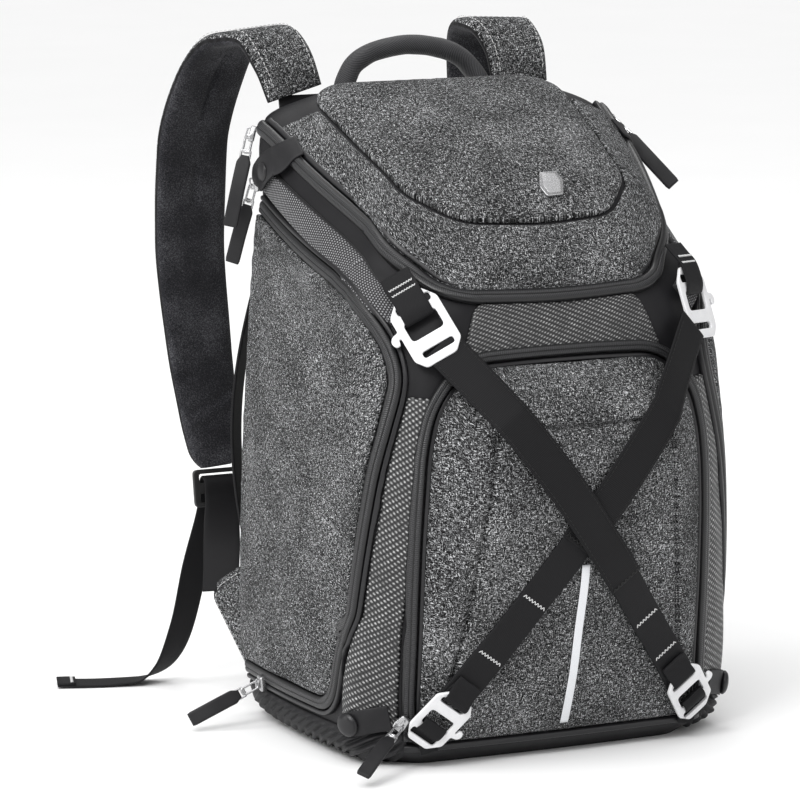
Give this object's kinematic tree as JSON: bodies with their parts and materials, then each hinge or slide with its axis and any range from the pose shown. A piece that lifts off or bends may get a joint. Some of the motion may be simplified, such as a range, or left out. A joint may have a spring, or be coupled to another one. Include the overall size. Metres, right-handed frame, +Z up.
{
  "type": "camera backpack",
  "caption": "Upright padded camera backpack with a zipped lid, bulging front pocket, crossed front straps on flat hooks, carry handle and shoulder straps.",
  "frame": {"origin": "on the floor plane under the middle of the base tray, which the backpack stands on", "axes": "+Z up out of the base, -Y towards the front pocket, +Y towards the wearer's side, +X towards the bag's right side panel as seen from behind"},
  "size_m": [0.5004, 0.4346, 0.5172],
  "materials": {
    "smooth_black": "smooth coated black cloth, low sheen",
    "black_rubber": "moulded matte black rubber",
    "grey_melange": "woven melange with light and dark flecks, matte",
    "coated_zip": "coated water-resistant zip tape, soft gloss",
    "carbon_cloth": "dark twill-patterned coated cloth, slight gloss",
    "grey_webbing": "dotted dark grey woven webbing",
    "black_webbing": "tight black woven webbing",
    "bright_metal": "bright satin metal",
    "silver_strip": "silver reflective tape"
  },
  "bodies": {
    "root": {"body_shell": "smooth_black", "lid": "smooth_black", "base_tray": "black_rubber", "base_piping": "smooth_black", "side_panel_right": "grey_melange", "side_panel_left": "grey_melange", "zip_side_right": "coated_zip", "zip_side_left": "coated_zip", "corner_strip_right": "carbon_cloth", "corner_strip_left": "carbon_cloth", "front_pocket": "grey_melange", "zip_front": "coated_zip", "top_band": "carbon_cloth", "zip_lid": "coated_zip", "lid_band": "grey_melange", "lid_panel": "grey_melange", "shoulder_webbing_right": "grey_webbing", "shoulder_webbing_left": "grey_webbing", "cross_strap_a": "black_webbing", "cross_strap_b": "black_webbing", "upper_hook_left": "bright_metal", "upper_hook_right": "bright_metal", "lower_hook_right": "bright_metal", "lower_hook_left": "bright_metal", "reflective_strip": "silver_strip", "hook_loop_right": "black_webbing", "hook_loop_left": "black_webbing", "upper_snap_tab_right": "black_rubber", "upper_snap_tab_left": "black_rubber", "upper_snap_right": "smooth_black", "upper_snap_left": "smooth_black", "lower_snap_tab_right": "black_rubber", "lower_snap_tab_left": "black_rubber", "lower_snap_right": "smooth_black", "lower_snap_left": "smooth_black", "badge": "bright_metal", "back_panel": "smooth_black", "carry_handle": "black_webbing", "shoulder_strap_right": "grey_melange", "shoulder_strap_left": "grey_melange", "strap_band_right": "black_webbing", "strap_band_left": "black_webbing", "strap_buckle_right": "bright_metal", "strap_buckle_left": "bright_metal", "strap_wing_right": "grey_melange", "strap_wing_left": "grey_melange", "strap_webbing_right": "black_webbing", "strap_webbing_left": "black_webbing", "side_handle_right": "black_webbing", "side_handle_left": "black_webbing", "zip_slider_lid_right": "bright_metal", "zip_tab_lid_right": "black_rubber", "zip_slider_lid_left": "bright_metal", "zip_tab_lid_left": "black_rubber", "zip_slider_side_top_left": "bright_metal", "zip_tab_side_top_left": "black_rubber", "zip_slider_side_foot_left": "bright_metal", "zip_tab_side_foot_left": "black_rubber", "zip_slider_front_foot_left": "bright_metal", "zip_tab_front_foot_left": "black_rubber"}
  },
  "joints": []
}
